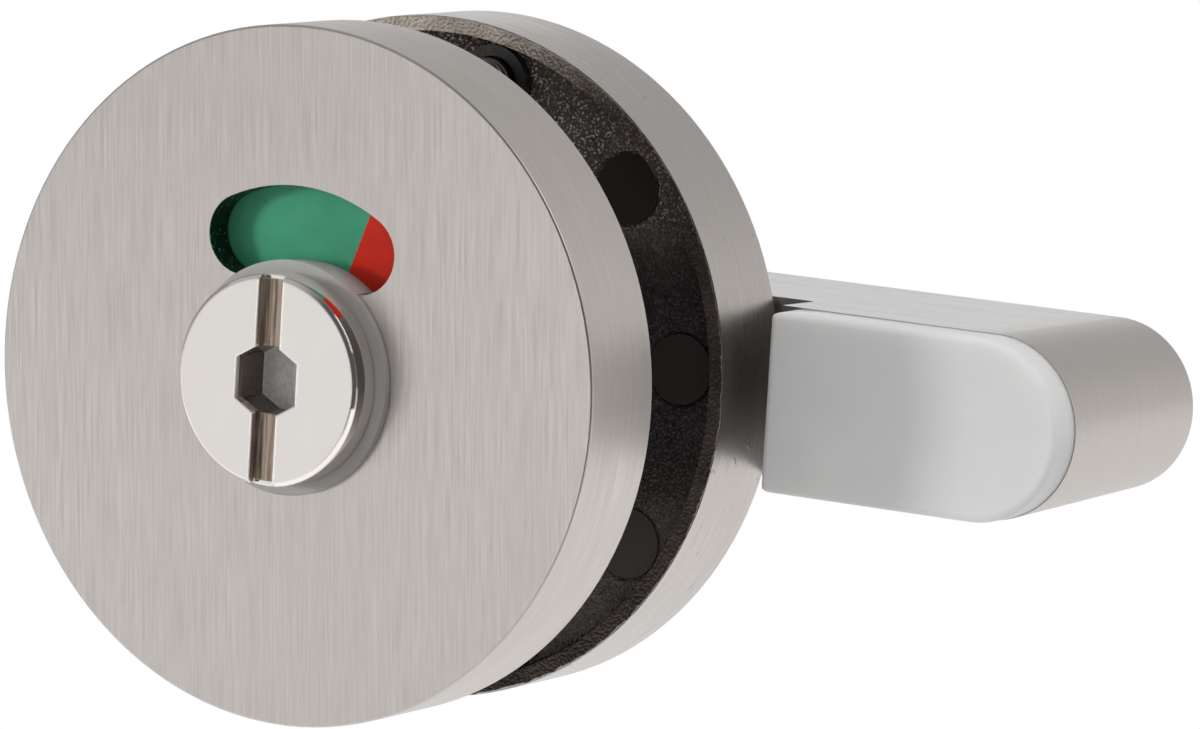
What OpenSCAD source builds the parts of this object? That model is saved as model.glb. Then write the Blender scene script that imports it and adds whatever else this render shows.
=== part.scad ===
// Toilet indicator bolt for a thin cubicle door, in millimetres.
// X runs along the arm, Y from the outside of the door to the inside, Z up.
// The origin is on the spindle axis at the outer face of the door.

/* [Roses] */
// Diameter of both roses
rose_d = 65; // [62:0.5:75]
// Thickness of each rose
rose_t = 10.5; // [10:0.25:13]
// Front wall of the outer rose
wall = 3; // [2.5:0.25:3.5]
// Wall of the outer rose round its edge
rim_w = 3; // [2.5:0.25:3.5]
// Width of the inner rose's lip that meets the door
lip_w = 1.5; // [1:0.25:2]
// Rounding of the outer edges of the roses
rose_edge = 0.25; // [0.2:0.05:1]
// Thickness of the door between the roses
board = 13; // [12:0.5:22]
// Depth of the cast recess in the inner rose
recess = 1.5; // [1:0.25:2]

/* [Window] */
// Middle radius of the arc window
window_r = 14; // [13.5:0.1:15]
// Radial width of the window
window_w = 7.5; // [5:0.25:7.5]
// Angle between the centres of the window's round ends
window_span = 55; // [40:1:70]
// Clock angle of the window's middle
window_angle = 2; // [0:1:6]
// Clock angle of the border between green and red at rest
colour_split = 20; // [5:1:30]
// Space between the rose and the coloured panels
panel_gap = 0.4; // [0.3:0.05:0.6]
// Thickness of the coloured panels
panel_t = 0.5; // [0.3:0.1:0.8]

/* [Emergency release] */
// Diameter of the release head
head_d = 19.6; // [18.6:0.2:20.4]
// How far the head stands out of the rose
head_proud = 4; // [3.4:0.1:6]
// Bevel round the head
head_bevel = 0.35; // [0.2:0.05:0.6]
// Width of the coin slot
slot_w = 2.6; // [1.6:0.1:3.2]
// Depth of the coin slot
slot_depth = 1; // [0.8:0.1:1.8]
// Size of the key socket across its flats
key_af = 6.6; // [5:0.1:8]
// Size of the key socket across its trimmed corners
key_h = 6.2; // [5.8:0.1:9]
// Depth of the key socket
key_depth = 4.6; // [4.4:0.1:6.5]
// Thickness of the nylon flange under the head
collar_t = 0.7; // [0.5:0.1:1.6]
// How far the nylon flange stands out round the head
collar_over = 1.1; // [0.5:0.1:1.3]

/* [Arm] */
// Width of the arm at its pad
arm_w = 17.2; // [16:0.2:20]
// Width of the arm at its back
arm_back_w = 16.4; // [15:0.2:20]
// From the spindle axis to the end of the arm at its pad
arm_reach = 66.5; // [58:0.5:90]
// Depth of the arm behind the inner rose
arm_t = 19.5; // [14:0.5:24]
// Rounding of the arm's back edges
arm_edge = 0.6; // [0.4:0.1:2]
// Thickness of the nylon pad
pad_t = 3.8; // [3:0.1:4.5]
// From the door to the front of the pad
pad_clear = 1.5; // [0.8:0.1:2]
// How far the pad is set in from the arm's outline
pad_inset = 0.1; // [0:0.1:1]
// Rounding of the pad's front edge
pad_edge = 0.7; // [0.4:0.1:1.4]
// Rounding of the pad's inner corners
pad_corner = 1.1; // [0.5:0.1:2]
// From the rim of the rose to the inner end of the pad
pad_gap = 3.6; // [2:0.1:6]
// Space between the arm and the rim of the rose
rim_gap = 2.8; // [0.8:0.1:3.4]
// Drop of the pad's upper inner corner
lead_drop = 0.1; // [0.1:0.1:1]
// Length of that drop along the arm
lead_l = 2.4; // [1.5:0.1:5]

/* [Fixings] */
// Clock angle of the pair of fixing screws
fixing_angle = 11; // [0:1:20]
// Thread diameter of the fixing screws
screw_d = 4.8; // [4:0.1:5]
// Size of the square spindle
spindle_s = 6; // [5:0.1:6.4]

/* [Hidden] */
$fn = 96;

// Clearances, and how far cuts run past a face and joined shapes run into each other
fit = 0.05;
thrust = 0.1;
end_gap = 0.2;
through = 1;
sink = 0.1;

// Planes along the spindle, from the outside in
rose_r = rose_d / 2;
y_face = -rose_t;
y_wall = y_face + wall;
y_head = y_face - head_proud;
y_collar = y_face - collar_t;
y_hub = y_wall + thrust;
y_panel = y_wall + panel_gap;
y_disc = y_panel + panel_t;
disc_t = 1.3;
y_disc_back = y_disc + disc_t;
spring_t = 0.4;
washer_t = 2 * spring_t;
y_clip = y_disc_back + washer_t;
clip_t = 0.9;
y_tail = 4;
socket_depth = 6.5;
y_floor = board + recess;
y_back = board + rose_t;
stop_depth = 4;
y_stop = y_floor + stop_depth;
hub_washer_t = 0.7;
y_arm = y_back + hub_washer_t + 2 * fit;
y_arm_back = y_arm + arm_t;
y_pad = board + pad_clear;
y_seam = y_pad + pad_t;

// Radii of the outer set
wall_r = rose_r - rim_w;
lip_r = rose_r - lip_w;
head_r = head_d / 2;
collar_r = head_r + collar_over;
journal_r = 7.45;
sleeve_step = 0.2;
sleeve_r = collar_r - sleeve_step;
tail_r = 6.4;
tail_flat = 5.2;
groove_r = 5.6;
clip_r = 8.8;
clip_ring = 1.4;
clip_tab = 2.6;
clip_open = 32;
clip_tabs = [0, 130, 230];
hub_r = 9.2;
panel_room = 0.2;
panel_in_r = hub_r + panel_room;
disc_over = 2.5;
disc_r = window_r + window_w / 2 + disc_over;
colour_span = 120;

// Radii of the inner set
spigot_r = 8;
spigot_flat = 6.8;
spigot_groove_r = 7.2;
bush_r = 9.5;
plate_r = 11;
lug_r = 16;
lug_half = 12;
lug_angle = 225;
turn_range = 90;
stop_play = 1.5;
hub_boss_r = 13;
hub_boss_t = 2.5;
washer_inset = 0.5;
hub_clip_w = 1.6;
hub_clip_r = spigot_r + hub_clip_w;
hub_clip_open = 5;
ear_r = 1.8;
ear_off = 1.3;
ear_in = 0.6;
ear_x = hub_clip_open / 2 + ear_off;
ear_z = sqrt(pow(hub_clip_r - ear_in, 2) - pow(ear_x, 2));
ear_hole_r = 0.7;
plate_t = 2.4;
plate_room = 0.4;
spigot_out = 0.5;
y_spigot = y_floor - spigot_out;
hub_clip_t = 0.9;
y_hub_clip = y_stop - thrust - plate_t - hub_clip_t;

// Arm
half_w = arm_w / 2;
half_back = arm_back_w / 2;
tip_x = arm_reach - half_w;
pad_half = half_w - pad_inset;
relief_x = rose_r + rim_gap;
pad_x = rose_r + pad_gap;
pin_r = 1.5;
pin_x = [pad_x + lead_l + 2 * pin_r, tip_x];
pin_in = 2.2;
pin_out = 4;
grub_r = 2;
grub_edge = 0.6;
grub_sink = 0.25;
grub_key_r = 1.15;
grub_key_depth = 2;
y_grub = y_arm + hub_boss_t + grub_r + grub_edge;
half_grub = half_w - (half_w - half_back) * (y_grub - y_seam) / (y_arm_back - y_seam);
y_spindle_in = y_tail - socket_depth + end_gap;
spindle_past = 1.2;
y_spindle_end = y_grub + grub_r + spindle_past;

// Fixings
screw_r = screw_d / 2;
screw_room = 0.3;
ring_w = 1.05;
ring_edge = 0.25;
post_r = 3.6;
bush_in_r = screw_r + screw_room;
ring_r = bush_in_r + ring_w;
fixing_r = lip_r - ring_r - ring_edge;
ring_l = 4;
ring_sink = 0.5;
y_ring = board + ring_sink;
screw_head_r = 3.8;
screw_head_t = 3;
screw_key_r = 1.75;
screw_key_depth = 1.8;
head_sink = 0.2;
head_room = 0.2;
screw_tip_gap = 0.4;
screw_wall = 1;
screw_in = y_wall + screw_wall;
spot_r = 3.3;
spot_t = 0.2;
spot_edge = 0.6;
spot_ring_r = lip_r - spot_r - spot_edge;
spot_angles = [48, 86, 124, -48, -86, -124];

// A point at a radius and a clock angle, seen from outside
function clock(r, a) = [r * sin(a), r * cos(a)];

// Draws a flat shape in X and Z between two planes of Y
module slab(y0, y1) {
  translate([0, y1, 0]) rotate([90, 0, 0]) linear_extrude(y1 - y0) children();
}

// Turns a profile of radius and Y about the spindle axis
module turned() {
  rotate([-90, 0, 0]) rotate_extrude() children();
}

// A tube about the spindle axis
module tube(r_in, r_out, y0, y1) {
  slab(y0, y1) difference() {
    circle(r_out);
    circle(r_in);
  }
}

// Half of a bar's section, from its flat side to a side with a rounded corner
module half_section(half, half_far, y_flat, y_round, edge) {
  inner = y_round > y_flat ? y_round - edge : y_round + edge;
  polygon([[0, y_flat], [half, y_flat], [half_far, inner], [0, inner]]);
  polygon([[0, y_flat], [half_far - edge, y_flat], [half_far - edge, y_round], [0, y_round]]);
  translate([half_far - edge, inner]) circle(edge, $fn = 48);
}

// A bar with round ends from the spindle to the tip, tapered and rounded towards one face
module bar(half, half_far, y_flat, y_round, edge) {
  turned() half_section(half, half_far, y_flat, y_round, edge);
  translate([tip_x, 0, 0]) turned() half_section(half, half_far, y_flat, y_round, edge);
  rotate([0, 90, 0]) linear_extrude(tip_x) {
    half_section(half, half_far, y_flat, y_round, edge);
    mirror([1, 0]) half_section(half, half_far, y_flat, y_round, edge);
  }
}

// A pie slice between two clock angles
module slice(r, a0, a1) {
  m = (a0 + a1) / 2;
  polygon([[0, 0], clock(2 * r, a0), clock(2 * r, m), clock(2 * r, a1)]);
}

// A round with two flats at the sides
module flatted(r, flat) {
  intersection() {
    circle(r);
    square([2 * flat, 3 * r], center = true);
  }
}

// The pair of fixing positions
module at_fixings() {
  for (a = [fixing_angle, fixing_angle + 180]) {
    p = clock(fixing_r, a);
    translate([p[0], 0, p[1]]) children();
  }
}

// The arc window
module window_shape() {
  intersection() {
    difference() {
      circle(window_r + window_w / 2);
      circle(window_r - window_w / 2);
    }
    slice(window_r * 2, window_angle - window_span / 2, window_angle + window_span / 2);
  }
  for (a = [-window_span / 2, window_span / 2])
    translate(clock(window_r, window_angle + a)) circle(window_w / 2);
}

// The key socket: a hexagon with its upper and lower corners trimmed
module key_shape() {
  intersection() {
    rotate(30) circle(key_af / sqrt(3), $fn = 6);
    square([2 * key_af, key_h], center = true);
  }
}

module outer_rose() {
  color([0.74, 0.73, 0.71]) difference() {
    union() {
      difference() {
        turned() half_section(rose_r, rose_r, 0, y_face, rose_edge);
        slab(y_wall, through) circle(wall_r);
      }
      at_fixings() slab(y_wall - sink, 0) circle(post_r);
    }
    slab(y_face - through, y_wall + through) circle(sleeve_r + fit);
    slab(y_face - through, y_wall + through) window_shape();
    at_fixings() slab(screw_in - screw_tip_gap, through) circle(screw_r + fit);
  }
}

module release_collar() {
  color([0.86, 0.86, 0.82]) {
    difference() {
      union() {
        slab(y_collar, y_face) circle(collar_r);
        slab(y_face - sink, y_wall) circle(sleeve_r);
      }
      slab(y_collar - through, y_wall + through) circle(journal_r + fit);
    }
  }
}

module release_turn() {
  y_under = y_collar - thrust;
  color([0.82, 0.81, 0.8]) difference() {
    union() {
      turned() polygon([[0, y_head], [head_r - head_bevel, y_head], [head_r, y_head + head_bevel],
                        [head_r, y_under], [journal_r, y_under], [journal_r, y_hub], [0, y_hub]]);
      slab(y_hub - sink, y_tail) flatted(tail_r, tail_flat);
    }
    translate([0, y_head, 0]) cube([slot_w, 2 * slot_depth, 2 * head_d], center = true);
    slab(y_head - through, y_head + key_depth) key_shape();
    slab(y_tail - socket_depth, y_tail + through) square(spindle_s + 2 * fit, center = true);
    tube(groove_r, tail_r + through, y_clip, y_clip + clip_t + fit);
  }
}

module indicator_disc() {
  color([0.9, 0.9, 0.88]) difference() {
    union() {
      slab(y_hub, y_disc_back) circle(hub_r);
      slab(y_disc, y_disc_back) circle(disc_r);
    }
    slab(y_hub - through, y_disc_back + through) flatted(tail_r + fit, tail_flat + fit);
  }
}

module panel(a0, a1) {
  slab(y_panel, y_disc) intersection() {
    difference() {
      circle(disc_r);
      circle(panel_in_r);
    }
    slice(disc_r, a0, a1);
  }
}

module green_panel() {
  color([0.2, 0.55, 0.42]) panel(colour_split - colour_span, colour_split);
}

module red_panel() {
  color([0.78, 0.16, 0.12]) panel(colour_split, colour_split + colour_span);
}

module spring_washer() {
  r_in = tail_r + fit;
  color([0.6, 0.6, 0.6]) turned() polygon([[r_in, y_disc_back + spring_t], [hub_r, y_disc_back],
    [hub_r, y_disc_back + spring_t], [r_in, y_clip]]);
}

module release_clip() {
  color([0.35, 0.35, 0.36]) slab(y_clip, y_clip + clip_t) difference() {
    union() {
      difference() {
        circle(clip_r);
        circle(clip_r - clip_ring);
      }
      for (a = clip_tabs)
        rotate(-a) translate([-clip_tab / 2, groove_r - through]) square([clip_tab, clip_r - groove_r]);
    }
    circle(groove_r + fit);
    slice(clip_r, 180 - clip_open, 180 + clip_open);
  }
}

module spindle() {
  color([0.66, 0.66, 0.66]) slab(y_spindle_in, y_spindle_end) square(spindle_s, center = true);
}

module fixing_screws() {
  y_top = y_back - head_sink;
  color([0.4, 0.39, 0.38]) at_fixings() difference() {
    union() {
      slab(screw_in, y_top) circle(screw_r);
      slab(y_top - screw_head_t, y_top) circle(screw_head_r);
    }
    slab(y_top - screw_key_depth, y_top + through) circle(screw_key_r, $fn = 6);
  }
}

module screw_bushes() {
  color([0.7, 0.69, 0.67]) at_fixings() tube(bush_in_r, ring_r, y_ring, y_ring + ring_l);
}

module inner_rose() {
  lug_end = lug_angle + turn_range;
  play = lug_half + stop_play;
  color([0.7, 0.69, 0.67]) difference() {
    union() {
      difference() {
        turned() half_section(rose_r, rose_r, board, y_back, rose_edge);
        slab(board - through, y_floor) circle(lip_r);
      }
      for (a = spot_angles) {
        p = clock(spot_ring_r, a);
        translate([p[0], 0, p[1]]) slab(y_floor - spot_t, y_floor + sink) circle(spot_r);
      }
    }
    slab(board - through, y_back + through) circle(bush_r + fit);
    slab(board - through, y_stop) circle(plate_r + plate_room);
    slab(board - through, y_stop) intersection() {
      circle(lug_r + plate_room);
      slice(lug_r, 90 - lug_end - play, 90 - lug_angle + play);
    }
    at_fixings() {
      slab(board - through, y_back + through) circle(bush_in_r);
      slab(board - through, y_ring + ring_l) circle(ring_r + fit);
      slab(y_back - head_sink - screw_head_t, y_back + through) circle(screw_head_r + head_room);
    }
  }
}

module hub_bush() {
  color([0.86, 0.86, 0.82]) tube(spigot_r + fit, bush_r, y_stop, y_back);
}

module hub_washer() {
  color([0.86, 0.86, 0.82]) tube(spigot_r + fit, hub_boss_r - washer_inset, y_back + fit, y_arm - fit);
}

module stop_plate() {
  y_plate = y_hub_clip + hub_clip_t;
  color([0.55, 0.55, 0.55]) slab(y_plate, y_stop - thrust) difference() {
    union() {
      circle(plate_r);
      intersection() {
        circle(lug_r);
        slice(lug_r, 90 - lug_angle - lug_half, 90 - lug_angle + lug_half);
      }
    }
    flatted(spigot_r + fit, spigot_flat + fit);
  }
}

module hub_clip() {
  color([0.35, 0.35, 0.36]) slab(y_hub_clip, y_hub_clip + hub_clip_t) difference() {
    union() {
      circle(hub_clip_r);
      for (x = [-ear_x, ear_x]) translate([x, ear_z]) circle(ear_r);
    }
    circle(spigot_groove_r + fit);
    translate([-hub_clip_open / 2, 0]) square([hub_clip_open, 2 * hub_clip_r]);
    for (x = [-ear_x, ear_x]) translate([x, ear_z]) circle(ear_hole_r);
  }
}

module bolt_arm() {
  color([0.72, 0.71, 0.69]) difference() {
    union() {
      difference() {
        bar(half_w, half_back, y_seam, y_arm_back, arm_edge);
        translate([-arm_w, y_seam - through, -arm_w])
          cube([arm_w + relief_x, y_arm - y_seam + through, 2 * arm_w]);
      }
      slab(y_arm, y_arm + hub_boss_t) circle(hub_boss_r);
      slab(y_stop - thrust, y_arm + through) circle(spigot_r);
      slab(y_spigot, y_stop) flatted(spigot_r, spigot_flat);
    }
    slab(y_spigot - through, y_spindle_end + end_gap) square(spindle_s + 2 * fit, center = true);
    tube(spigot_groove_r, spigot_r + through, y_hub_clip - fit, y_hub_clip + hub_clip_t);
    for (x = pin_x)
      translate([x, 0, 0]) slab(y_seam - through, y_seam + pin_out + end_gap) circle(pin_r + fit);
    translate([0, y_grub, -arm_w]) cylinder(r = grub_r + fit, h = arm_w);
  }
}

// The pad's outline, with rounded inner corners, the upper one dropped below the arm's edge
module pad_outline() {
  reach = tip_x - pad_x;
  corner_x = pad_x + pad_corner;
  low = -pad_half + pad_corner;
  high = pad_half - lead_drop - pad_corner;
  difference() {
    union() {
      translate([corner_x, -pad_half]) square([reach - pad_corner, 2 * pad_half]);
      translate([pad_x, low]) square([reach, high - low]);
      for (z = [low, high]) translate([corner_x, z]) circle(pad_corner, $fn = 48);
      translate([tip_x, 0]) circle(pad_half);
    }
    polygon([[pad_x, pad_half - lead_drop], [corner_x, pad_half - lead_drop], [corner_x + lead_l, pad_half],
             [corner_x + lead_l, pad_half + through], [pad_x, pad_half + through]]);
  }
}

// The pad seen from above, rounded at its inner end
module pad_plan() {
  translate([pad_x + pad_edge, y_pad]) square([arm_reach, pad_t]);
  translate([pad_x, y_pad + pad_edge]) square([arm_reach, pad_t - pad_edge]);
  translate([pad_x + pad_edge, y_pad + pad_edge]) circle(pad_edge, $fn = 48);
}

module arm_pad() {
  color([0.9, 0.9, 0.89]) difference() {
    intersection() {
      bar(pad_half, pad_half, y_seam, y_pad, pad_edge);
      slab(y_pad, y_seam) pad_outline();
      translate([0, 0, -arm_w]) linear_extrude(2 * arm_w) pad_plan();
    }
    for (x = pin_x)
      translate([x, 0, 0]) slab(y_seam - pin_in - end_gap, y_seam + through) circle(pin_r + fit);
  }
}

module pad_pins() {
  color([0.6, 0.6, 0.6])
    for (x = pin_x) translate([x, 0, 0]) slab(y_seam - pin_in, y_seam + pin_out) circle(pin_r);
}

module grub_screw() {
  top = -spindle_s / 2 - fit;
  low = -half_grub + grub_sink;
  color([0.3, 0.3, 0.31]) translate([0, y_grub, 0]) difference() {
    translate([0, 0, low]) cylinder(r = grub_r, h = top - low);
    translate([0, 0, low - through]) cylinder(r = grub_key_r, h = grub_key_depth + through, $fn = 6);
  }
}

outer_rose();
release_collar();
release_turn();
indicator_disc();
green_panel();
red_panel();
spring_washer();
release_clip();
spindle();
fixing_screws();
screw_bushes();
inner_rose();
hub_bush();
hub_washer();
stop_plate();
hub_clip();
bolt_arm();
arm_pad();
pad_pins();
grub_screw();
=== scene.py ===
"""Looks of a toilet indicator bolt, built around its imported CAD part. Lengths are in metres."""

import math

import bmesh
import bpy
from mathutils import Matrix, Vector


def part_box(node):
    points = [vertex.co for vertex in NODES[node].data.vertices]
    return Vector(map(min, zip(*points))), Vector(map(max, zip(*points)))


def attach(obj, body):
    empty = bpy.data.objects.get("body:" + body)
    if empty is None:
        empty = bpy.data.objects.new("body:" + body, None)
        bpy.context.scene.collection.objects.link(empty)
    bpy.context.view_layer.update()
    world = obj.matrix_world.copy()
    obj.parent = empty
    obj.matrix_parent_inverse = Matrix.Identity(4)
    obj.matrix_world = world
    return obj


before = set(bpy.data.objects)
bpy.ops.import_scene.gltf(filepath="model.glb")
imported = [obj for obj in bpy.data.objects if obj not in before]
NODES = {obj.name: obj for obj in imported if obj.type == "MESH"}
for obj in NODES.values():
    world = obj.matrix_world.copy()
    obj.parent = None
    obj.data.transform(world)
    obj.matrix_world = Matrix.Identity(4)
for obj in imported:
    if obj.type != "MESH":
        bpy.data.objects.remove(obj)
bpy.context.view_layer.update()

MM = 0.001

# Places read from the CAD nodes
ROSE_LOW, ROSE_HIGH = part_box("outer_rose")
INNER_LOW, INNER_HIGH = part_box("inner_rose")
ROSE_FRONT = ROSE_LOW[1]
ROSE_R = ROSE_HIGH[0]
INNER_FRONT = INNER_LOW[1]
INNER_BACK = INNER_HIGH[1]
HEAD_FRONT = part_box("release_turn")[0][1]
ARM_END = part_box("bolt_arm")[1][0]
PAD_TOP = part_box("arm_pad")[1][2]
SCREWS_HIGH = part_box("fixing_screws")[1]

# Sizes of the roses that the boxes don't give
EDGE = 0.25 * MM
CUP_WALL = 3 * MM
CUP_R = ROSE_R - CUP_WALL
CUP_Y = -6.9 * MM
LIP_W = 1.5 * MM
LIP_R = ROSE_R - LIP_W
RECESS = 1.5 * MM
FLOOR_Y = INNER_FRONT + RECESS

# Smooth round spots on the recess floor, at clock angles in degrees
SPOT_R = 3.3 * MM
SPOT_MARGIN = 0.6 * MM
SPOT_RING_R = LIP_R - SPOT_R - SPOT_MARGIN
SPOT_CLOCKS = (48, 86, 124, -48, -86, -124)

# Screws and the bushes round them
SCREW_R = 2.4 * MM
SCREW_HEAD_R = 3.8 * MM
BUSH_R = 3.75 * MM
FIXING_X = SCREWS_HIGH[0] - SCREW_HEAD_R
FIXING_Z = SCREWS_HIGH[2] - SCREW_HEAD_R

# The release head and the arm
SLOT_DEPTH = 1.0 * MM
KEY_DEPTH = 4.6 * MM
PAD_STEP = 0.1 * MM
ARM_HALF = PAD_TOP + PAD_STEP
TIP_X = ARM_END - ARM_HALF


# Node helpers


def set_inputs(node, tree, values):
    """Sets a node's inputs by name or number; a socket is linked, anything else is a value."""
    for key, value in values.items():
        socket = node.inputs[key]
        if isinstance(value, bpy.types.NodeSocket):
            tree.links.new(value, socket)
        else:
            socket.default_value = value


def add(tree, kind, inputs=None, **settings):
    """Adds a node with its settings and inputs."""
    node = tree.nodes.new(kind)
    for key, value in settings.items():
        setattr(node, key, value)
    set_inputs(node, tree, inputs or {})
    return node


def cleared_tree(owner):
    """The node tree of a material or a world, emptied."""
    owner.use_nodes = True
    owner.node_tree.nodes.clear()
    return owner.node_tree


def add_object(name, data):
    """A new object in the scene, at the origin."""
    made = bpy.data.objects.new(name, data)
    bpy.context.scene.collection.objects.link(made)
    return made


def math_node(tree, operation, a, b):
    """One Math node's result."""
    return add(tree, "ShaderNodeMath", {0: a, 1: b}, operation=operation).outputs[0]


def vector_value(tree, operation, inputs):
    """The number that one Vector Math node gives."""
    return add(tree, "ShaderNodeVectorMath", inputs, operation=operation).outputs["Value"]


def spread(tree, value, low, high, to_low=0.0, to_high=1.0):
    """Maps a value from one range to another, clamped, with soft ends."""
    inputs = {"Value": value, "From Min": low, "From Max": high, "To Min": to_low, "To Max": to_high}
    return add(tree, "ShaderNodeMapRange", inputs, interpolation_type="SMOOTHSTEP").outputs["Result"]


def grade(tree, factor, low, high):
    """Goes softly from one value to another as a factor goes from 0 to 1."""
    return spread(tree, factor, 0.0, 1.0, low, high)


def mix_colour(tree, factor, a, b):
    """Mixes two colours."""
    return add(tree, "ShaderNodeMix", {0: factor, 6: a, 7: b}, data_type="RGBA").outputs[2]


def mix_value(tree, factor, a, b):
    """Mixes two values."""
    return add(tree, "ShaderNodeMix", {0: factor, 2: a, 3: b}, data_type="FLOAT").outputs[0]


# How much less blue a warm grey has for each part of red that it gains
BLUE_LOSS = 0.75

# The range in which most noise lies
NOISE_LOW, NOISE_HIGH = 0.3, 0.7


def grey(value, warm=0.0):
    """A slightly warm grey."""
    return (value * (1 + warm), value, value * (1 - BLUE_LOSS * warm), 1)


def noise(tree, vector, scale, detail=2.0, roughness=0.5):
    """A noise value."""
    inputs = {"Vector": vector, "Scale": scale, "Detail": detail, "Roughness": roughness}
    return add(tree, "ShaderNodeTexNoise", inputs).outputs["Fac"]


def patches(tree, vector, scale, detail=2.0, roughness=0.5):
    """A noise that is stretched over the whole of 0 to 1."""
    return spread(tree, noise(tree, vector, scale, detail, roughness), NOISE_LOW, NOISE_HIGH)


# Effects that several finishes share

# Pebbles to the metre, and how much slower the broad bands are than the fine lines
CAST_GRAIN = 3500.0
BAND_SCALE = (0.16, 0.3, 0.16)


def group_tree(name, inputs, outputs):
    """An empty shader group with named sockets."""
    tree = bpy.data.node_groups.new(name, "ShaderNodeTree")
    for socket, kind in inputs:
        tree.interface.new_socket(name=socket, in_out="INPUT", socket_type=kind)
    for socket in outputs:
        tree.interface.new_socket(name=socket, in_out="OUTPUT", socket_type="NodeSocketFloat")
    return tree, tree.nodes.new("NodeGroupInput").outputs, tree.nodes.new("NodeGroupOutput").inputs


def brush_lines_group():
    """Lines left by a grinding belt. The vector is short along the lines and long across them."""
    tree, given, out = group_tree("Brush lines", [("Vector", "NodeSocketVector")], ["Fine", "Broad"])
    fine = patches(tree, given["Vector"], scale=1.0, detail=4.0, roughness=0.7)
    slow = add(tree, "ShaderNodeVectorMath", {0: given["Vector"], 1: BAND_SCALE}, operation="MULTIPLY")
    broad = noise(tree, slow.outputs[0], scale=1.0, detail=1.5)
    tree.links.new(fine, out["Fine"])
    tree.links.new(spread(tree, broad, low=0.28, high=0.72), out["Broad"])
    return tree


def cast_grain_group():
    """The pebbled skin of a casting, with painted glints on its crests and slow stains."""
    sockets = [("Vector", "NodeSocketVector"), ("Grain", "NodeSocketFloat")]
    tree, given, out = group_tree("Cast grain", sockets, ["Height", "Glint", "Stain"])
    place = given["Vector"]
    inputs = {"Vector": place, "Scale": given["Grain"]}
    cells = add(tree, "ShaderNodeTexVoronoi", inputs, feature="SMOOTH_F1")
    pebble = spread(tree, cells.outputs["Distance"], low=0.0, high=0.75, to_low=1.0, to_high=0.0)
    grit = math_node(tree, "MULTIPLY", noise(tree, place, scale=5200.0), 0.5)
    crest = spread(tree, pebble, low=0.45, high=0.8)
    sparse = spread(tree, noise(tree, place, scale=1500.0, detail=1.0), low=0.3, high=0.65, to_low=0.25)
    stain = spread(tree, noise(tree, place, scale=160.0, detail=3.0, roughness=0.6), low=0.35, high=0.7)
    tree.links.new(math_node(tree, "ADD", pebble, grit), out["Height"])
    tree.links.new(math_node(tree, "MULTIPLY", crest, sparse), out["Glint"])
    tree.links.new(stain, out["Stain"])
    return tree


BRUSH = brush_lines_group()
CAST = cast_grain_group()


class Finish:
    """A new material with one Principled shader and the object's own coordinates."""

    def __init__(self, name, **fixed):
        self.material = bpy.data.materials.new(name)
        self.tree = cleared_tree(self.material)
        self.shader = add(self.tree, "ShaderNodeBsdfPrincipled")
        add(self.tree, "ShaderNodeOutputMaterial", {"Surface": self.shader.outputs[0]})
        self.place = add(self.tree, "ShaderNodeTexCoord").outputs["Object"]
        self.axes = add(self.tree, "ShaderNodeSeparateXYZ", {0: self.place}).outputs
        self.set(**fixed)

    def set(self, **values):
        """Sets or links the shader's inputs; an underscore stands for a space."""
        inputs = {key.replace("_", " "): value for key, value in values.items()}
        set_inputs(self.shader, self.tree, inputs)

    def vector(self, x, y, z):
        """A vector of three values."""
        return add(self.tree, "ShaderNodeCombineXYZ", {0: x, 1: y, 2: z}).outputs[0]

    def times(self, a, b):
        """The product of two values."""
        return math_node(self.tree, "MULTIPLY", a, b)

    def flat_place(self):
        """The place across the spindle's axis."""
        x, _, z = self.axes
        return self.vector(x, 0.0, z)

    def radius(self):
        """The distance from the spindle's axis."""
        return vector_value(self.tree, "LENGTH", {0: self.flat_place()})

    def stretched(self, along_x, along_y, along_z):
        """The place with each axis scaled."""
        x, y, z = self.axes
        return self.vector(self.times(x, along_x), self.times(y, along_y), self.times(z, along_z))

    def brush(self, vector):
        """The brush lines along a vector, fine and broad."""
        node = add(self.tree, "ShaderNodeGroup", {"Vector": vector}, node_tree=BRUSH)
        return node.outputs["Fine"], node.outputs["Broad"]

    def cast(self):
        """The cast skin's height, painted glints and stains."""
        inputs = {"Vector": self.place, "Grain": CAST_GRAIN}
        node = add(self.tree, "ShaderNodeGroup", inputs, node_tree=CAST)
        return node.outputs["Height"], node.outputs["Glint"], node.outputs["Stain"]

    def bump(self, height, depth, strength, **start):
        """A bumped normal; the Normal that it starts from may be given too."""
        inputs = {"Height": height, "Distance": depth, "Strength": strength, **start}
        return add(self.tree, "ShaderNodeBump", inputs).outputs["Normal"]

    def soft_edge(self, radius, samples):
        """A normal that rounds sharp edges over a small radius."""
        return add(self.tree, "ShaderNodeBevel", {"Radius": radius}, samples=samples).outputs["Normal"]

    def put_on(self, *nodes):
        """Gives the finish to CAD nodes."""
        for name in nodes:
            slots = NODES[name].material_slots
            if not slots:
                NODES[name].data.materials.append(self.material)
            for slot in slots:
                slot.material = self.material
        return self.material


# Brushed metal

# Tones of brushed metal: the low level, the high level and the warmth of the grey
WARM = 0.072
FACE_TONE = (0.5, 0.605, WARM)
RIM_TONE = (0.56, 0.62, WARM)
# The inner rose's rim is painted darker than the outer rim, as shade
REAR_RIM_SHADED_TONE = (0.49, 0.55, WARM)
ARM_TONE = (0.64, 0.73, 0.005)
# The arm's round end is painted a darker grey than its sides, as shade
SHADED_TIP_TONE = (0.52, 0.54, WARM)

# Broad bands between the lines: how strong they are, and their level beside the middle of the tone
BAND_SHARE = 0.35
BAND_LEVEL = 0.93

# Brush lines to the metre, and how long one stroke is
FACE_LINES, FACE_STROKE = 5200.0, 9 * MM
RIM_LINES, RIM_STROKE = 3600.0, 10 * MM
ARM_LINES, ARM_STROKE = 3800.0, 16 * MM
TIP_LINES, TIP_STROKE = 3400.0, 9 * MM
BRUSH_TILT = math.radians(4)
BRUSH_DEPTH = 0.006 * MM

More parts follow.
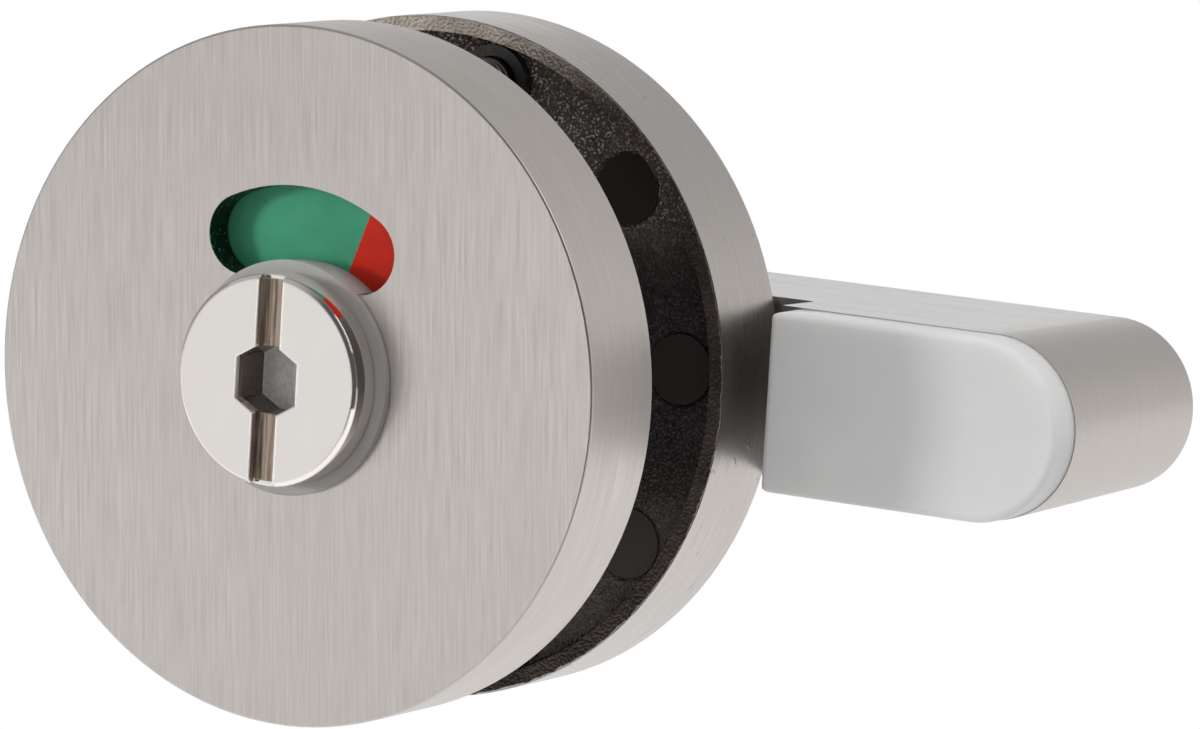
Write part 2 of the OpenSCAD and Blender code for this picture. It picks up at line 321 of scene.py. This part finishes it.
# Depth of the lines round the arm's end as a share of those along it
TIP_LINE_SHARE = 0.25

# Roughness between the lines and on them, and what the outer rim adds
ROSE_ROUGH = (0.36, 0.28)
REAR_ROUGH = (0.36, 0.27)
ARM_ROUGH = (0.38, 0.3)
RIM_ROUGHER = 0.1

# The window's walls, painted dark as shade with painted glint specks, and the cast inside of the outer
# rose
WINDOW_WALL_SHADE_AND_GLINTS = (grey(0.06), grey(0.7))
CUP_CAST = (grey(0.05), grey(0.1, 0.08))
CUP_ROUGH = 0.5

# Where each of these takes over, from its start to its end
RIM_R = (ROSE_R - EDGE, ROSE_R - 0.3 * EDGE)
CUP_INSIDE_Y = (CUP_Y, CUP_Y + 0.2 * MM)
CUP_INSIDE_R = (CUP_R + 0.4 * MM, CUP_R + 0.2 * MM)
WINDOW_WALL_Y = (ROSE_FRONT + 0.05 * MM, ROSE_FRONT + 0.2 * MM)
WINDOW_WALL_R = (22 * MM, 21 * MM)
TIP_LINES_X = (TIP_X - 0.2 * MM, TIP_X + 0.8 * MM)
# Where the painted shade round the arm's end comes in
SHADED_TIP_X = (TIP_X - 4 * MM, TIP_X + 4 * MM)


def brushed_colour(finish, lines, tone):
    """A brushed grey between two levels, with faint bands."""
    fine, broad = lines
    low, high, warm = tone
    base = mix_colour(finish.tree, fine, grey(low, warm), grey(high, warm))
    band = grey((low + high) / 2 * BAND_LEVEL, warm)
    return mix_colour(finish.tree, finish.times(broad, BAND_SHARE), base, band)


def face_lines(finish):
    """Straight brush lines up a rose's face, a little tilted."""
    x, _, z = finish.axes
    lean, rise = math.sin(BRUSH_TILT), math.cos(BRUSH_TILT)
    across = math_node(finish.tree, "ADD", finish.times(x, rise), finish.times(z, lean))
    along = math_node(finish.tree, "SUBTRACT", finish.times(z, rise), finish.times(x, lean))
    across = finish.times(across, FACE_LINES)
    along = finish.times(along, 1 / FACE_STROKE)
    return finish.brush(finish.vector(across, along, 0.0))


def rim_lines(finish):
    """Brush lines that run round a rose's rim."""
    x, y, z = finish.axes
    short_x, short_z = finish.times(x, 1 / RIM_STROKE), finish.times(z, 1 / RIM_STROKE)
    return finish.brush(finish.vector(short_x, short_z, finish.times(y, RIM_LINES)))


def brushed_rose(finish, rim_tone):
    """The colour of a rose's brushed face and rim, the height of its lines and the mask of its rim."""
    t = finish.tree
    rim = spread(t, finish.radius(), *RIM_R)
    on_face, on_rim = face_lines(finish), rim_lines(finish)
    face_colour = brushed_colour(finish, on_face, FACE_TONE)
    rim_colour = brushed_colour(finish, on_rim, rim_tone)
    return mix_colour(t, rim, face_colour, rim_colour), mix_value(t, rim, on_face[0], on_rim[0]), rim


def outer_rose_finish():
    """Brushed up the face and round the rim, painted dark as shade on the window's walls with painted
    glint specks, and cast inside.
    """
    f = Finish("Brushed rose", Metallic=1.0)
    t = f.tree
    metal, lines, rim = brushed_rose(f, RIM_TONE)
    height, _, stain = f.cast()
    y, radius = f.axes[1], f.radius()
    in_cup = f.times(spread(t, y, *CUP_INSIDE_Y), spread(t, radius, *CUP_INSIDE_R))
    on_wall = f.times(spread(t, y, *WINDOW_WALL_Y), spread(t, radius, *WINDOW_WALL_R))
    # Painted shade on the window's walls, with specks of painted glint
    glint_speck = spread(t, noise(t, f.place, scale=2400.0), low=0.62, high=0.68)
    outside = mix_colour(t, on_wall, metal, mix_colour(t, glint_speck, *WINDOW_WALL_SHADE_AND_GLINTS))
    brushed_rough = math_node(t, "ADD", grade(t, lines, *ROSE_ROUGH), f.times(rim, RIM_ROUGHER))
    f.set(Base_Color=mix_colour(t, in_cup, outside, mix_colour(t, stain, *CUP_CAST)),
          Roughness=mix_value(t, in_cup, brushed_rough, CUP_ROUGH),
          Normal=f.bump(mix_value(t, in_cup, lines, height), BRUSH_DEPTH, strength=0.6))
    return f.put_on("outer_rose")


def arm_finish():
    """Brushed along the arm and round its end, where the grey is painted darker and warmer as shade."""
    f = Finish("Brushed arm", Metallic=1.0)
    t = f.tree
    x = f.axes[0]
    # The tone mask paints shade round the arm's end
    tip, tone = spread(t, x, *TIP_LINES_X), spread(t, x, *SHADED_TIP_X)
    on_side = f.brush(f.stretched(1 / ARM_STROKE, ARM_LINES, ARM_LINES))
    on_tip = f.brush(f.stretched(1 / TIP_STROKE, TIP_LINES, 1 / TIP_STROKE))
    lines = mix_value(t, tip, on_side[0], f.times(on_tip[0], TIP_LINE_SHARE))
    side_colour = brushed_colour(f, on_side, ARM_TONE)
    shaded_tip_colour = brushed_colour(f, on_tip, SHADED_TIP_TONE)
    f.set(Base_Color=mix_colour(t, tone, side_colour, shaded_tip_colour),
          Roughness=grade(t, lines, *ARM_ROUGH),
          Normal=f.bump(lines, BRUSH_DEPTH, strength=0.5))
    return f.put_on("bolt_arm")


# The cast side of the inner rose

# Colours that stains carry from the first to the second
# The floor's level by height is painted light and shade: lighter high up and low down, where light
# comes into the gap, and dim in the middle
FLOOR_HIGH_LIT = ((0.075, 0.063, 0.057, 1), (0.135, 0.117, 0.104, 1))
FLOOR_MIDDLE_SHADED = ((0.015, 0.0125, 0.012, 1), (0.026, 0.021, 0.02, 1))
FLOOR_LOW_LIT = ((0.06, 0.05, 0.043, 1), (0.115, 0.097, 0.084, 1))
LIP_DARK = ((0.03, 0.023, 0.019, 1), (0.075, 0.054, 0.044, 1))
# The lip's colours: its own, then paler near the top, then palest towards the left of the top
LIP_PALE = ((0.16, 0.13, 0.105, 1), (0.32, 0.275, 0.225, 1))
LIP_PALEST = ((0.5, 0.43, 0.37, 1), (0.78, 0.69, 0.6, 1))

# Colours of the smooth spots, in the middle and painted lighter low down, and of the painted glints
SPOT_DARK = (0.036, 0.03, 0.028, 1)
SPOT_LOW_LIT = (0.095, 0.08, 0.069, 1)
GLINT = (0.68, 0.6, 0.54, 1)

# Where those colours come in, each from its start to its end
FLOOR_HIGH_LIT_Z = (8 * MM, 19 * MM)
FLOOR_LOW_LIT_Z = (-5 * MM, -18 * MM)
LIP_PALE_Z = (24 * MM, 31 * MM)
LIP_PALEST_X = (16 * MM, 5 * MM)
GLINT_Z = (12 * MM, 19 * MM)
LIP_START_R = (LIP_R - 0.1 * MM, LIP_R + 0.1 * MM)
CAST_SIDE_R = (ROSE_R + 0.16 * MM, ROSE_R + 0.04 * MM)
CAST_SIDE_Y = (INNER_BACK - 0.4 * MM, INNER_BACK - 0.8 * MM)
SPOT_EDGE = (SPOT_R - 0.05 * MM, SPOT_R + 0.1 * MM)

# How much glint is left below that height, and on the lip
GLINT_BELOW = 0.05
GLINT_ON_LIP = 0.3

# How metallic and rough the cast side is, how far its edge wanders, and how deep its pebbles are
CAST_METAL = 0.35
CAST_ROUGH = 0.42
EDGE_WANDER = 0.5 * MM
PEBBLE_DEPTH = 0.2 * MM

# Depth of the brush lines as a share of the pebbles'
LINES_TO_PEBBLES = 0.022


def clock_point(radius, angle):
    """A point at a radius and a clock angle in degrees, seen from outside."""
    turn = math.radians(angle)
    return Vector((radius * math.sin(turn), 0, radius * math.cos(turn)))


def spot_distance(finish):
    """How far a point is from the middle of the nearest smooth spot."""
    flat = finish.flat_place()
    nearest = 1.0
    for angle in SPOT_CLOCKS:
        away = vector_value(finish.tree, "DISTANCE", {0: flat, 1: clock_point(SPOT_RING_R, angle)})
        nearest = math_node(finish.tree, "MINIMUM", away, nearest)
    return nearest


def cast_side_colour(f, rough, glint, stain):
    """The stained floor with painted light and shade by height, its smooth spots, the lip, paler near
    the top, and the painted glints.
    """
    t = f.tree
    x, _, z = f.axes
    lip = spread(t, f.radius(), *LIP_START_R)
    # Painted light and shade by height: the floor and the spots are lighter low down and high up, dim
    # in between
    low = spread(t, z, *FLOOR_LOW_LIT_Z)
    upper_shade_and_light = mix_colour(t, spread(t, z, *FLOOR_HIGH_LIT_Z), mix_colour(t, stain, *FLOOR_MIDDLE_SHADED),
                       mix_colour(t, stain, *FLOOR_HIGH_LIT))
    floor = mix_colour(t, low, upper_shade_and_light, mix_colour(t, stain, *FLOOR_LOW_LIT))
    # The top of the lip is paler, palest towards the left
    pale = mix_colour(t, spread(t, x, *LIP_PALEST_X), mix_colour(t, stain, *LIP_PALE),
                      mix_colour(t, stain, *LIP_PALEST))
    skin = mix_colour(t, lip, floor, mix_colour(t, stain, *LIP_DARK))
    skin = mix_colour(t, f.times(lip, spread(t, z, *LIP_PALE_Z)), skin, pale)
    skin = mix_colour(t, rough, mix_colour(t, low, SPOT_DARK, SPOT_LOW_LIT), skin)
    # Painted glints on the pebble crests, mostly high up
    lit = f.times(glint, spread(t, z, *GLINT_Z, to_low=GLINT_BELOW))
    lit = f.times(lit, mix_value(t, lip, rough, GLINT_ON_LIP))
    return mix_colour(t, lit, skin, GLINT)


def inner_rose_finish():
    """A brushed rim and back, and a cast side that faces the door, with painted shade in its middle and
    painted light high and low.
    """
    f = Finish("Cast and brushed rose")
    t = f.tree
    wander = f.times(noise(t, f.place, scale=900.0), EDGE_WANDER)
    reach = math_node(t, "ADD", f.radius(), wander)
    cast = f.times(spread(t, reach, *CAST_SIDE_R), spread(t, f.axes[1], *CAST_SIDE_Y))
    metal, lines, _ = brushed_rose(f, REAR_RIM_SHADED_TONE)
    height, glint, stain = f.cast()
    rough = spread(t, spot_distance(f), *SPOT_EDGE)
    relief = mix_value(t, cast, f.times(lines, LINES_TO_PEBBLES), f.times(height, rough))
    f.set(Base_Color=mix_colour(t, cast, metal, cast_side_colour(f, rough, glint, stain)),
          Metallic=mix_value(t, cast, 1.0, CAST_METAL),
          Roughness=mix_value(t, cast, grade(t, lines, *REAR_ROUGH), CAST_ROUGH),
          Normal=f.bump(relief, PEBBLE_DEPTH, strength=0.9))
    return f.put_on("inner_rose")


# The release head

# Colours of the milled slot, and of the sides and the floor of the key socket: the sides partly their
# own brown and partly painted shade, the floor near white as painted light
MILLED_SLOT = ((0.13, 0.09, 0.066, 1), (0.42, 0.33, 0.26, 1))
SOCKET_SIDE_SHADE = ((0.18, 0.15, 0.123, 1), (0.25, 0.215, 0.184, 1))
SOCKET_FLOOR_LIGHT = ((0.8, 0.79, 0.76, 1), (0.99, 0.98, 0.96, 1))

# Plating: its grey, its roughness, how it rounds the edges and its slow wave
PLATING = (grey(0.88, 0.05), grey(0.93, 0.05))
PLATING_ROUGH = (0.04, 0.08)
PLATING_EDGE = 0.3 * MM
PLATING_WAVE = 0.2

# Mill marks to the metre, across the slot, into it and along it
MILL_MARKS = (3400.0, 400.0, 160.0)

# How metallic the slot is, how rough the socket's sides and floor are, and how deep the marks are
SLOT_METAL = 0.4
SOCKET_ROUGH = (0.25, 0.4)
MARK_DEPTH = 0.05 * MM
BROACH_SHARE = 0.3

# Depths in the head at which these take over, from start to end, and where its side does
SLOT_FROM = (0.3 * MM, 0.6 * MM)
SOCKET_FROM = (SLOT_DEPTH + 0.05 * MM, SLOT_DEPTH + 0.2 * MM)
SOCKET_FLOOR_FROM = (KEY_DEPTH - 0.12 * MM, KEY_DEPTH - 0.04 * MM)
HEAD_SIDE_R = (9.45 * MM, 9.3 * MM)


def bright_finish():
    """Polished plating, with a milled slot and a coarse broached socket whose sides are painted dark as
    shade and whose floor is painted near white as light.
    """
    f = Finish("Polished plating")
    t = f.tree

    def sunk(start, end):
        """A mask of what lies deeper in the head than a depth."""
        return spread(t, f.axes[1], HEAD_FRONT + start, HEAD_FRONT + end)

    core = f.times(sunk(*SLOT_FROM), spread(t, f.radius(), *HEAD_SIDE_R))
    socket = sunk(*SOCKET_FROM)
    floor = sunk(*SOCKET_FLOOR_FROM)
    wave = noise(t, f.place, scale=260.0)
    mill = patches(t, f.stretched(*MILL_MARKS), scale=1.0, detail=3.0)
    broach = patches(t, f.place, scale=2600.0, detail=3.0, roughness=0.6)
    # Painted shade on the socket's sides and painted light on its near-white, non-metal floor
    side_shade = mix_colour(t, broach, *SOCKET_SIDE_SHADE)
    socket_shade_and_light = mix_colour(t, floor, side_shade, mix_colour(t, broach, *SOCKET_FLOOR_LIGHT))
    cut = mix_colour(t, socket, mix_colour(t, mill, *MILLED_SLOT), socket_shade_and_light)
    cut_metal = mix_value(t, socket, SLOT_METAL, mix_value(t, floor, 1.0, 0.0))
    plating_rough = spread(t, wave, NOISE_LOW, NOISE_HIGH, *PLATING_ROUGH)
    marks = mix_value(t, socket, mill, f.times(f.times(broach, BROACH_SHARE), floor))
    relief = mix_value(t, core, f.times(wave, PLATING_WAVE), marks)
    rounded = f.soft_edge(PLATING_EDGE, samples=6)
    f.set(Base_Color=mix_colour(t, core, mix_colour(t, wave, *PLATING), cut),
          Metallic=mix_value(t, core, 1.0, cut_metal),
          Roughness=mix_value(t, core, plating_rough, mix_value(t, floor, *SOCKET_ROUGH)),
          Normal=f.bump(relief, MARK_DEPTH, strength=0.4, Normal=rounded))
    return f.put_on("release_turn")


# Nylon, printed colours and plain steel

# Nylon: how far light goes in, for each colour, and the roughness of its flow marks
NYLON_SCATTER = 3 * MM
NYLON_SCATTER_RGB = (1.0, 0.95, 0.9)
NYLON_ROUGH = (0.46, 0.36)

# Printed colour: its roughness, and how much is left where it has faded
PRINT_ROUGH = (0.5, 0.4)
PRINT_FADED = 0.82

# Turned steel: marks to the metre across and along the spindle, and what they do to the roughness
TURNED_LINES, TURNED_STEP = 1800.0, 300.0
TURNED_ROUGHER, TURNED_SMOOTHER = 0.08, 0.05


def nylon_finish(name, nodes, level, mottle, warm=0.0, scatter=0.0, clear=0.0):
    """Milky nylon with faint flow marks."""
    f = Finish(name, Subsurface_Weight=scatter, Subsurface_Scale=NYLON_SCATTER,
               Subsurface_Radius=NYLON_SCATTER_RGB, IOR=1.45, Transmission_Weight=clear)
    t = f.tree
    cloud = patches(t, f.place, scale=90.0, detail=3.0, roughness=0.55)
    grain = noise(t, f.place, scale=2600.0, detail=3.0, roughness=0.6)
    f.set(Base_Color=mix_colour(t, cloud, grey(level - mottle, warm), grey(level, warm)),
          Roughness=grade(t, cloud, *NYLON_ROUGH),
          Normal=f.bump(grain, depth=0.02 * MM, strength=0.25))
    return f.put_on(*nodes)


def paint_finish(name, node, colour):
    """Satin colour printed on the indicator, a little uneven."""
    f = Finish(name, IOR=1.5, Specular_IOR_Level=0.2)
    t = f.tree
    cloud = patches(t, f.place, scale=140.0, detail=3.0, roughness=0.6)
    peel = noise(t, f.place, scale=1500.0)
    faded = tuple(PRINT_FADED * part for part in colour)
    f.set(Base_Color=mix_colour(t, cloud, (*faded, 1), (*colour, 1)),
          Roughness=grade(t, cloud, *PRINT_ROUGH),
          Normal=f.bump(peel, depth=0.01 * MM, strength=0.3))
    return f.put_on(node)


def plain_metal_finish(name, nodes, low, high, rough, warm=0.01):
    """Turned or pressed steel with marks along the spindle's direction."""
    f = Finish(name, Metallic=1.0)
    lines = f.brush(f.stretched(TURNED_LINES, TURNED_STEP, TURNED_LINES))
    f.set(Base_Color=brushed_colour(f, lines, (low, high, warm)),
          Roughness=grade(f.tree, lines[0], rough + TURNED_ROUGHER, rough - TURNED_SMOOTHER),
          Normal=f.bump(lines[0], depth=0.01 * MM, strength=0.5))
    return f.put_on(*nodes)


outer_rose_finish()
cast_steel = inner_rose_finish()
arm_finish()
bright_finish()
nylon_finish("Milky collar", ["release_collar"], level=0.9, mottle=0.04, warm=0.04, clear=0.65)
nylon_finish("Milky bush", ["hub_bush", "hub_washer"], level=0.74, mottle=0.05, warm=0.01, scatter=0.35)
nylon_finish("White nylon", ["arm_pad"], level=0.74, mottle=0.03, warm=0.005, scatter=0.5)
nylon_finish("Moulded disc", ["indicator_disc"], level=0.6, mottle=0.06)
paint_finish("Green colour", "green_panel", (0.08, 0.43, 0.25))
paint_finish("Red colour", "red_panel", (0.8, 0.032, 0.014))
plain_metal_finish("Blackened spring steel", ["spring_washer", "release_clip", "hub_clip"],
                   low=0.05, high=0.1, rough=0.4)
plain_metal_finish("Zinc-plated steel", ["spindle", "stop_plate", "pad_pins"],
                   low=0.45, high=0.6, rough=0.34)
screw_steel = plain_metal_finish("Screw steel", ["fixing_screws", "grub_screw"],
                                 low=0.12, high=0.24, rough=0.36, warm=0.02)
plain_metal_finish("Turned bush", ["screw_bushes"], low=0.12, high=0.22, rough=0.38, warm=0.03)


# Geometry Nodes helpers


def shape_tree(name, inputs):
    """An empty Geometry Nodes tree with a geometry input, named inputs and a geometry output."""
    tree = bpy.data.node_groups.new(name, "GeometryNodeTree")
    tree.interface.new_socket(name="Geometry", in_out="INPUT", socket_type="NodeSocketGeometry")
    for socket, kind in inputs:
        tree.interface.new_socket(name=socket, in_out="INPUT", socket_type="NodeSocket" + kind)
    tree.interface.new_socket(name="Geometry", in_out="OUTPUT", socket_type="NodeSocketGeometry")
    return tree, tree.nodes.new("NodeGroupInput").outputs, tree.nodes.new("NodeGroupOutput").inputs


def finish_shape(tree, geometry, given, out):
    """Realizes the instances, sets the material and ends the tree."""
    real = add(tree, "GeometryNodeRealizeInstances", {"Geometry": geometry})
    inputs = {"Geometry": real.outputs[0], "Material": given["Material"]}
    tree.links.new(add(tree, "GeometryNodeSetMaterial", inputs).outputs[0], out["Geometry"])


def grow(name, tree, values, mesh=None):
    """Runs a tree with its inputs set and keeps the result as a plain mesh piece."""
    piece = add_object(name, mesh or bpy.data.meshes.new(name))
    modifier = piece.modifiers.new("shape", "NODES")
    modifier.node_group = tree
    for item in tree.interface.items_tree:
        if item.in_out == "INPUT" and item.name in values:
            modifier[item.identifier] = values[item.name]
    graph = bpy.context.evaluated_depsgraph_get()
    result = bpy.data.meshes.new_from_object(piece.evaluated_get(graph))
    piece.modifiers.remove(modifier)
    piece.data = result
    return piece


# Screw threads in the door gap

THREAD_PITCH = 0.8 * MM
THREAD_DEPTH = 0.24 * MM
THREAD_START = 0.4 * MM
THREAD_LENGTH = INNER_FRONT - 2 * THREAD_START
STEPS_TO_A_TURN = 40
RIDGE_SIDES = 4


def thread_tree():
    """Two threads wound about lines along Y, one at each end of a line between the screws."""
    inputs = [("Root radius", "Float"), ("Depth", "Float"), ("Turns", "Float"), ("Length", "Float"),
              ("First", "Vector"), ("Last", "Vector"), ("Material", "Material")]
    tree, given, out = shape_tree("Screw thread", inputs)
    coil = add(tree, "GeometryNodeCurveSpiral", {
        "Resolution": STEPS_TO_A_TURN, "Rotations": given["Turns"], "Height": given["Length"],
        "Start Radius": given["Root radius"], "End Radius": given["Root radius"]})
    ridge = add(tree, "GeometryNodeCurvePrimitiveCircle",
                {"Resolution": RIDGE_SIDES, "Radius": given["Depth"]}, mode="RADIUS")
    wire = add(tree, "GeometryNodeCurveToMesh", {
        "Curve": coil.outputs[0], "Profile Curve": ridge.outputs[0], "Fill Caps": True})
    turned = add(tree, "GeometryNodeTransform", {
        "Geometry": wire.outputs[0], "Rotation": (-math.pi / 2, 0, 0)})
    ends = add(tree, "GeometryNodeMeshLine", {
        "Count": 2, "Start Location": given["First"], "Offset": given["Last"]}, mode="END_POINTS")
    pair = add(tree, "GeometryNodeInstanceOnPoints", {
        "Points": ends.outputs[0], "Instance": turned.outputs[0]})
    finish_shape(tree, pair.outputs[0], given, out)
    return tree


def screw_threads():
    """The threads that show between the roses."""
    piece = grow("screw_threads", thread_tree(), {
        "Root radius": SCREW_R, "Depth": THREAD_DEPTH,
        "Turns": THREAD_LENGTH / THREAD_PITCH, "Length": THREAD_LENGTH,
        "First": (FIXING_X, THREAD_START, FIXING_Z), "Last": (-FIXING_X, THREAD_START, -FIXING_Z),
        "Material": screw_steel})
    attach(piece, "door_set")


screw_threads()


# The pebbled skin on the floor of the inner rose

SKIN_IN_R = 17 * MM
SKIN_MIDDLE_R = 24 * MM
SKIN_OUT_R = LIP_R - 0.02 * MM
SKIN_STEP = 0.2 * MM
SKIN_SINK = 0.08 * MM
SKIN_LEAST = SKIN_SINK + 0.02 * MM
SKIN_MOST = SKIN_SINK + 0.2 * MM
SKIN_GRAIN = 1900.0
SKIN_MARGIN = 0.1 * MM
SMOOTH_RINGS = 2


def circle_points(radius, count):
    """Points on a circle about the spindle's axis."""
    return [clock_point(radius, 360 * step / count) for step in range(count)]


def skin_clearance(point, middles, radius):
    """How far a point lies outside the nearest of some round places that stay bare."""
    return min((point - middle).length for middle in middles) - radius - SKIN_MARGIN


def skin_points(rings, spokes):
    """The sheet's points, ring by ring, then two rings below them, with how rough each one is."""
    spots = [clock_point(SPOT_RING_R, angle) for angle in SPOT_CLOCKS]
    bushes = [Vector((FIXING_X, 0, FIXING_Z)), Vector((-FIXING_X, 0, -FIXING_Z))]
    points, rough = [], []
    for ring in range(rings + 1):
        radius = SKIN_IN_R + (SKIN_OUT_R - SKIN_IN_R) * ring / rings
        inward = min(1.0, min(ring, rings - ring) / SMOOTH_RINGS)
        for flat in circle_points(radius, spokes):
            away = min(skin_clearance(flat, spots, SPOT_R), skin_clearance(flat, bushes, BUSH_R))
            points.append((flat.x, FLOOR_Y + SKIN_SINK, flat.z))
            rough.append(inward * max(0.0, min(1.0, away / SKIN_STEP)))
    for radius in (SKIN_OUT_R, SKIN_IN_R):
        for flat in circle_points(radius, spokes):
            points.append((flat.x, FLOOR_Y + 2 * SKIN_SINK, flat.z))
            rough.append(0.0)
    return points, rough


def skin_sheet():
    """A closed ring of small faces on the recess floor, with its roughness in an attribute."""
    rings = round((SKIN_OUT_R - SKIN_IN_R) / SKIN_STEP)
    spokes = round(2 * math.pi * SKIN_MIDDLE_R / SKIN_STEP)
    points, rough = skin_points(rings, spokes)
    starts = range(0, len(points), spokes)
    faces = []
    for spoke in range(spokes):
        after = (spoke + 1) % spokes
        for a, b in zip(starts, [*starts[1:], starts[0]]):
            faces.append((a + spoke, b + spoke, b + after, a + after))
    mesh = bpy.data.meshes.new("cast_skin")
    mesh.from_pydata(points, [], faces)
    mesh.attributes.new("rough", "FLOAT", "POINT").data.foreach_set("value", rough)
    shape = bmesh.new()
    shape.from_mesh(mesh)
    bmesh.ops.recalc_face_normals(shape, faces=shape.faces)
    shape.to_mesh(mesh)
    shape.free()
    return mesh


def skin_tree():
    """Lifts a sheet towards the door by a pebbled noise, as far as its roughness says."""
    inputs = [("Grain", "Float"), ("Least", "Float"), ("Most", "Float"), ("Material", "Material")]
    tree, given, out = shape_tree("Cast skin", inputs)
    rough = add(tree, "GeometryNodeInputNamedAttribute", {"Name": "rough"}, data_type="FLOAT")
    place = add(tree, "GeometryNodeInputPosition").outputs[0]
    level = add(tree, "ShaderNodeMapRange", {
        "Value": noise(tree, place, given["Grain"]), "From Min": NOISE_LOW, "From Max": NOISE_HIGH,
        "To Min": given["Least"], "To Max": given["Most"]}).outputs["Result"]
    height = math_node(tree, "MULTIPLY", level, rough.outputs[0])
    lift = math_node(tree, "MULTIPLY", height, -1.0)
    offset = add(tree, "ShaderNodeCombineXYZ", {1: lift}).outputs[0]
    moved = add(tree, "GeometryNodeSetPosition", {"Geometry": given["Geometry"], "Offset": offset})
    finish_shape(tree, moved.outputs[0], given, out)
    return tree


def cast_skin():
    """The rough cast floor between the two roses."""
    values = {"Grain": SKIN_GRAIN, "Least": SKIN_LEAST, "Most": SKIN_MOST, "Material": cast_steel}
    piece = grow("cast_skin", skin_tree(), values, skin_sheet())
    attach(piece, "door_set")


cast_skin()


# Stage, light and camera

FLOOR_Z = -0.16
FLOOR_SIZE = 6.0
FLOOR_FRONT = -0.25
FLOOR_GREY = (0.8, 0.8, 0.8, 1)
WHITE = (1, 1, 1, 1)

# Light on matt surfaces, and the levels of the walls that metal shows
AMBIENT = 0.48
ROOM_LEFT = 0.4
ROOM_DARK = 0.08
ROOM_RIGHT = 0.74
ROOM_HIGH = 0.5
ROOM_BOX = 0.75

# Where the walls meet, as parts of a direction, and the soft box that the brushed face shows
SIDE_BLEND = 0.3
FRONT_BLEND = (0.25, -0.15)
HIGH_BLEND = (0.15, 0.5)
BOX_AT = (-0.504, -0.848, -0.16)
BOX_BLEND = (0.9, 0.985)

# The photograph's view
LENS = 200.4
SENSOR = 36.0
CAMERA_AT = (0.334683, -0.520430, 0.083668)
CAMERA_RIGHT = (0.85508, 0.51504, 0.05979)
CAMERA_UP = (-0.11868, 0.08216, 0.98953)
CAMERA_BACK = (0.50473, -0.85322, 0.13137)


def ray_masks(tree):
    """Masks of the rays that leave the camera, and of those that metal and clear nylon send on."""
    path = add(tree, "ShaderNodeLightPath").outputs
    mirrored = math_node(tree, "MAXIMUM", path["Is Glossy Ray"], path["Is Transmission Ray"])
    return path["Is Camera Ray"], mirrored


def make_floor():
    """A pale floor well below the part, white to the camera and in mirrors."""
    mesh = bpy.data.meshes.new("floor")
    shape = bmesh.new()
    bmesh.ops.create_grid(shape, x_segments=1, y_segments=1, size=FLOOR_SIZE / 2)
    shape.to_mesh(mesh)
    shape.free()
    mesh.transform(Matrix.Translation((0, FLOOR_FRONT + FLOOR_SIZE / 2, FLOOR_Z)))
    material = bpy.data.materials.new("Pale floor")
    tree = cleared_tree(material)
    from_camera, mirrored = ray_masks(tree)
    seen = math_node(tree, "MAXIMUM", from_camera, mirrored)
    matt = add(tree, "ShaderNodeBsdfDiffuse", {"Color": FLOOR_GREY})
    glow = add(tree, "ShaderNodeEmission", {"Color": WHITE, "Strength": 1.0})
    both = add(tree, "ShaderNodeMixShader", {0: seen, 1: matt.outputs[0], 2: glow.outputs[0]})
    add(tree, "ShaderNodeOutputMaterial", {"Surface": both.outputs[0]})
    mesh.materials.append(material)
    add_object("floor", mesh)


def make_world():
    """White behind the part, an even soft light, and a room of walls for metal to show."""
    world = bpy.data.worlds.new("Studio")
    bpy.context.scene.world = world
    tree = cleared_tree(world)
    way = add(tree, "ShaderNodeTexCoord").outputs["Generated"]
    x, y, z = add(tree, "ShaderNodeSeparateXYZ", {0: way}).outputs
    from_camera, mirrored = ray_masks(tree)
    front_wall = spread(tree, x, SIDE_BLEND, -SIDE_BLEND, ROOM_DARK, ROOM_LEFT)
    box = spread(tree, vector_value(tree, "DOT_PRODUCT", {0: way, 1: BOX_AT}), *BOX_BLEND)
    front_wall = mix_value(tree, box, front_wall, ROOM_BOX)
    back_wall = spread(tree, x, -SIDE_BLEND, SIDE_BLEND, 1.0, ROOM_RIGHT)
    back_wall = mix_value(tree, spread(tree, z, *HIGH_BLEND), back_wall, ROOM_HIGH)
    room = mix_value(tree, spread(tree, y, *FRONT_BLEND), back_wall, front_wall)
    light = mix_value(tree, mirrored, AMBIENT, room)
    strength = mix_value(tree, from_camera, light, 1.0)
    sky = add(tree, "ShaderNodeBackground", {"Color": WHITE, "Strength": strength})
    add(tree, "ShaderNodeOutputWorld", {"Surface": sky.outputs[0]})


def make_lamp(name, place, target, size, watts, mirrored=True):
    """A square soft lamp that faces a point, and may be left out of what metal shows."""
    lamp = bpy.data.lights.new(name, "AREA")
    lamp.size = size
    lamp.energy = watts
    holder = add_object(name, lamp)
    holder.visible_glossy = mirrored
    aim = (Vector(target) - Vector(place)).to_track_quat("-Z", "Y")
    holder.matrix_world = Matrix.Translation(place) @ aim.to_matrix().to_4x4()


def make_camera():
    """The photograph's view, from the right of the outside and a little above."""
    camera = bpy.data.cameras.new("camera")
    camera.lens = LENS
    camera.sensor_width = SENSOR
    camera.sensor_fit = "HORIZONTAL"
    holder = add_object("camera", camera)
    turn = Matrix((CAMERA_RIGHT, CAMERA_UP, CAMERA_BACK)).transposed().to_4x4()
    holder.matrix_world = Matrix.Translation(CAMERA_AT) @ turn
    bpy.context.scene.camera = holder


make_floor()
make_world()
make_lamp("key", place=(-0.8, -0.98, 0.07), target=(0, 0, 0), size=0.18, watts=5.0, mirrored=False)
make_lamp("left gleam", place=(-0.9, -0.87, -0.23), target=(0, 0, 0), size=0.22, watts=0.24)
make_lamp("right gleam", place=(-0.36, -1.19, -0.12), target=(0, 0, 0), size=0.22, watts=0.32)
make_lamp("fill", place=(0.9, 0.2, 0.9), target=(0.03, 0.02, 0), size=0.8, watts=2.5)
make_lamp("top", place=(0.2, -0.28, 0.95), target=(0.02, 0.01, 0), size=0.25, watts=3.4, mirrored=False)
make_camera()
bpy.context.scene.view_settings.view_transform = "Standard"
